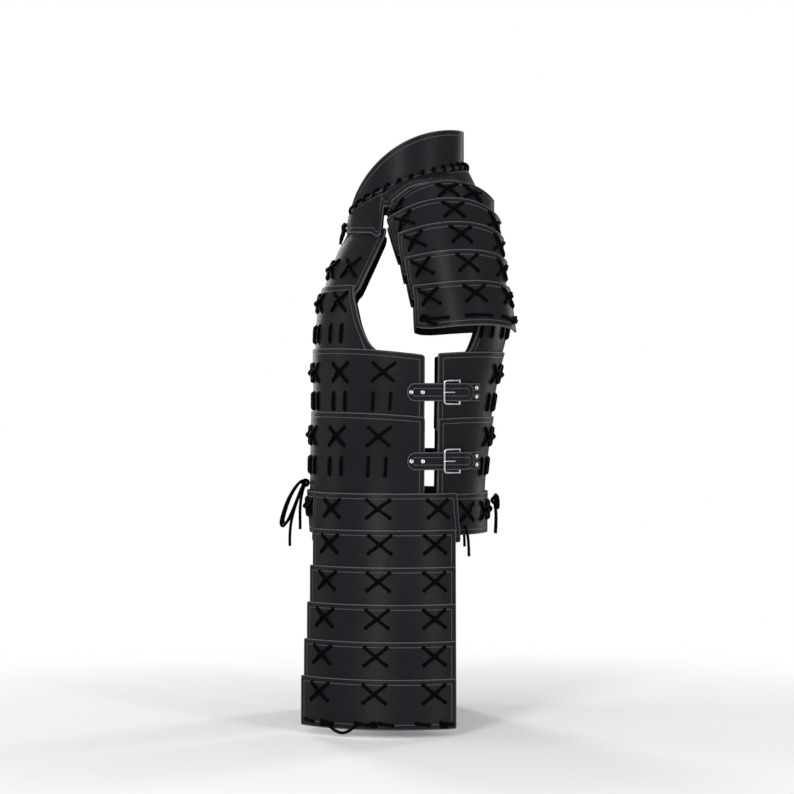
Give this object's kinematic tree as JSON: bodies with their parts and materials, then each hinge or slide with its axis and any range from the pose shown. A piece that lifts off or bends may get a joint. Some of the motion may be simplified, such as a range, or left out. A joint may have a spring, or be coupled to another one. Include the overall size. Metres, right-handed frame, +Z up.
{
  "type": "laced leather chest armour",
  "caption": "Laced leather chest armour: standing collar on a yoke, cuirass of overlapping lames, two lamed shoulder guards, two lamed tassets, side straps.",
  "frame": {"origin": "middle of the neck base, level with the top of the shoulders, where the wearer's shoulders carry the armour", "axes": "-Y faces the wearer's front, +X the wearer's left, +Z up"},
  "size_m": [0.532, 0.4082, 1.015],
  "materials": {
    "leather": "black, smooth, with a satin sheen",
    "cord": "black waxed round cord",
    "steel": "satin nickel"
  },
  "bodies": {
    "cuirass": {"collar": "leather", "collar_yoke": "leather", "collar_lacing": "cord", "front_lame_1": "leather", "front_lame_2": "leather", "front_lame_3": "leather", "front_lame_4": "leather", "front_lame_5": "leather", "back_lame_1": "leather", "back_lame_2": "leather", "back_lame_3": "leather", "back_lame_4": "leather", "back_lame_5": "leather", "front_lacing": "cord", "back_lacing": "cord", "left_guard_lame_1": "leather", "right_guard_lame_1": "leather", "left_hip_lame": "leather", "right_hip_lame": "leather", "shoulder_hip_lacing": "cord", "side_straps": "leather", "side_buckles": "steel", "front_waist_tie": "cord", "back_waist_tie": "cord"},
    "left_guard_2": {"left_guard_lame_2": "leather", "left_guard_lacing_2": "cord"},
    "left_guard_3": {"left_guard_lame_3": "leather", "left_guard_lacing_3": "cord"},
    "left_guard_4": {"left_guard_lame_4": "leather", "left_guard_lacing_4": "cord"},
    "left_guard_5": {"left_guard_lame_5": "leather", "left_guard_lacing_5": "cord"},
    "left_tasset_1": {"left_tasset_lame_1": "leather", "left_tasset_lacing_1": "cord"},
    "left_tasset_2": {"left_tasset_lame_2": "leather", "left_tasset_lacing_2": "cord"},
    "left_tasset_3": {"left_tasset_lame_3": "leather", "left_tasset_lacing_3": "cord"},
    "left_tasset_4": {"left_tasset_lame_4": "leather", "left_tasset_lacing_4": "cord"},
    "left_tasset_5": {"left_tasset_lame_5": "leather", "left_tasset_lacing_5": "cord"},
    "right_guard_2": {"right_guard_lame_2": "leather", "right_guard_lacing_2": "cord"},
    "right_guard_3": {"right_guard_lame_3": "leather", "right_guard_lacing_3": "cord"},
    "right_guard_4": {"right_guard_lame_4": "leather", "right_guard_lacing_4": "cord"},
    "right_guard_5": {"right_guard_lame_5": "leather", "right_guard_lacing_5": "cord"},
    "right_tasset_1": {"right_tasset_lame_1": "leather", "right_tasset_lacing_1": "cord"},
    "right_tasset_2": {"right_tasset_lame_2": "leather", "right_tasset_lacing_2": "cord"},
    "right_tasset_3": {"right_tasset_lame_3": "leather", "right_tasset_lacing_3": "cord"},
    "right_tasset_4": {"right_tasset_lame_4": "leather", "right_tasset_lacing_4": "cord"},
    "right_tasset_5": {"right_tasset_lame_5": "leather", "right_tasset_lacing_5": "cord"}
  },
  "joints": [
    {"name": "left_guard_swing_2", "type": "hinge", "parent": "cuirass", "child": "left_guard_2", "pos_m": [0.17607, 0.06935, -0.05], "axis": [0, -0.9848, -0.1736], "range_deg": [0, 16], "stiffness_Nm_per_rad": 0.15, "springref_deg": -28.65},
    {"name": "left_guard_swing_3", "type": "hinge", "parent": "left_guard_2", "child": "left_guard_3", "pos_m": [0.20831, 0.07675, -0.09197], "axis": [0, -0.9848, -0.1736], "range_deg": [0, 16]},
    {"name": "left_guard_swing_4", "type": "hinge", "parent": "left_guard_3", "child": "left_guard_4", "pos_m": [0.23167, 0.08514, -0.13956], "axis": [0, -0.9848, -0.1736], "range_deg": [0, 16]},
    {"name": "left_guard_swing_5", "type": "hinge", "parent": "left_guard_4", "child": "left_guard_5", "pos_m": [0.24389, 0.09433, -0.19168], "axis": [0, -0.9848, -0.1736], "range_deg": [0, 16]},
    {"name": "left_tasset_swing_1", "type": "hinge", "parent": "cuirass", "child": "left_tasset_1", "pos_m": [0.20204, -0.004, -0.603], "axis": [0, -1, 0], "range_deg": [0, 25], "stiffness_Nm_per_rad": 0.7, "springref_deg": -34.38},
    {"name": "left_tasset_swing_2", "type": "hinge", "parent": "left_tasset_1", "child": "left_tasset_2", "pos_m": [0.21064, -0.004, -0.6645], "axis": [0, -1, 0], "range_deg": [0, 10]},
    {"name": "left_tasset_swing_3", "type": "hinge", "parent": "left_tasset_2", "child": "left_tasset_3", "pos_m": [0.21924, -0.004, -0.726], "axis": [0, -1, 0], "range_deg": [0, 10]},
    {"name": "left_tasset_swing_4", "type": "hinge", "parent": "left_tasset_3", "child": "left_tasset_4", "pos_m": [0.22784, -0.004, -0.7875], "axis": [0, -1, 0], "range_deg": [0, 10]},
    {"name": "left_tasset_swing_5", "type": "hinge", "parent": "left_tasset_4", "child": "left_tasset_5", "pos_m": [0.23644, -0.004, -0.849], "axis": [0, -1, 0], "range_deg": [0, 10]},
    {"name": "right_guard_swing_2", "type": "hinge", "parent": "cuirass", "child": "right_guard_2", "pos_m": [-0.17607, 0.06935, -0.05], "axis": [0, 0.9848, 0.1736], "range_deg": [0, 16], "stiffness_Nm_per_rad": 0.15, "springref_deg": -28.65},
    {"name": "right_guard_swing_3", "type": "hinge", "parent": "right_guard_2", "child": "right_guard_3", "pos_m": [-0.20831, 0.07675, -0.09197], "axis": [0, 0.9848, 0.1736], "range_deg": [0, 16]},
    {"name": "right_guard_swing_4", "type": "hinge", "parent": "right_guard_3", "child": "right_guard_4", "pos_m": [-0.23167, 0.08514, -0.13956], "axis": [0, 0.9848, 0.1736], "range_deg": [0, 16]},
    {"name": "right_guard_swing_5", "type": "hinge", "parent": "right_guard_4", "child": "right_guard_5", "pos_m": [-0.24389, 0.09433, -0.19168], "axis": [0, 0.9848, 0.1736], "range_deg": [0, 16]},
    {"name": "right_tasset_swing_1", "type": "hinge", "parent": "cuirass", "child": "right_tasset_1", "pos_m": [-0.20204, -0.004, -0.603], "axis": [0, 1, 0], "range_deg": [0, 25], "stiffness_Nm_per_rad": 0.7, "springref_deg": -34.38},
    {"name": "right_tasset_swing_2", "type": "hinge", "parent": "right_tasset_1", "child": "right_tasset_2", "pos_m": [-0.21064, -0.004, -0.6645], "axis": [0, 1, 0], "range_deg": [0, 10]},
    {"name": "right_tasset_swing_3", "type": "hinge", "parent": "right_tasset_2", "child": "right_tasset_3", "pos_m": [-0.21924, -0.004, -0.726], "axis": [0, 1, 0], "range_deg": [0, 10]},
    {"name": "right_tasset_swing_4", "type": "hinge", "parent": "right_tasset_3", "child": "right_tasset_4", "pos_m": [-0.22784, -0.004, -0.7875], "axis": [0, 1, 0], "range_deg": [0, 10]},
    {"name": "right_tasset_swing_5", "type": "hinge", "parent": "right_tasset_4", "child": "right_tasset_5", "pos_m": [-0.23644, -0.004, -0.849], "axis": [0, 1, 0], "range_deg": [0, 10]}
  ],
  "couplings": [
    {"joint": "left_guard_swing_3", "follows": "left_guard_swing_2", "ratio": 1},
    {"joint": "left_guard_swing_4", "follows": "left_guard_swing_2", "ratio": 1},
    {"joint": "left_guard_swing_5", "follows": "left_guard_swing_2", "ratio": 1},
    {"joint": "left_tasset_swing_2", "follows": "left_tasset_swing_1", "ratio": 0.4},
    {"joint": "left_tasset_swing_3", "follows": "left_tasset_swing_1", "ratio": 0.4},
    {"joint": "left_tasset_swing_4", "follows": "left_tasset_swing_1", "ratio": 0.4},
    {"joint": "left_tasset_swing_5", "follows": "left_tasset_swing_1", "ratio": 0.4},
    {"joint": "right_guard_swing_3", "follows": "right_guard_swing_2", "ratio": 1},
    {"joint": "right_guard_swing_4", "follows": "right_guard_swing_2", "ratio": 1},
    {"joint": "right_guard_swing_5", "follows": "right_guard_swing_2", "ratio": 1},
    {"joint": "right_tasset_swing_2", "follows": "right_tasset_swing_1", "ratio": 0.4},
    {"joint": "right_tasset_swing_3", "follows": "right_tasset_swing_1", "ratio": 0.4},
    {"joint": "right_tasset_swing_4", "follows": "right_tasset_swing_1", "ratio": 0.4},
    {"joint": "right_tasset_swing_5", "follows": "right_tasset_swing_1", "ratio": 0.4}
  ]
}
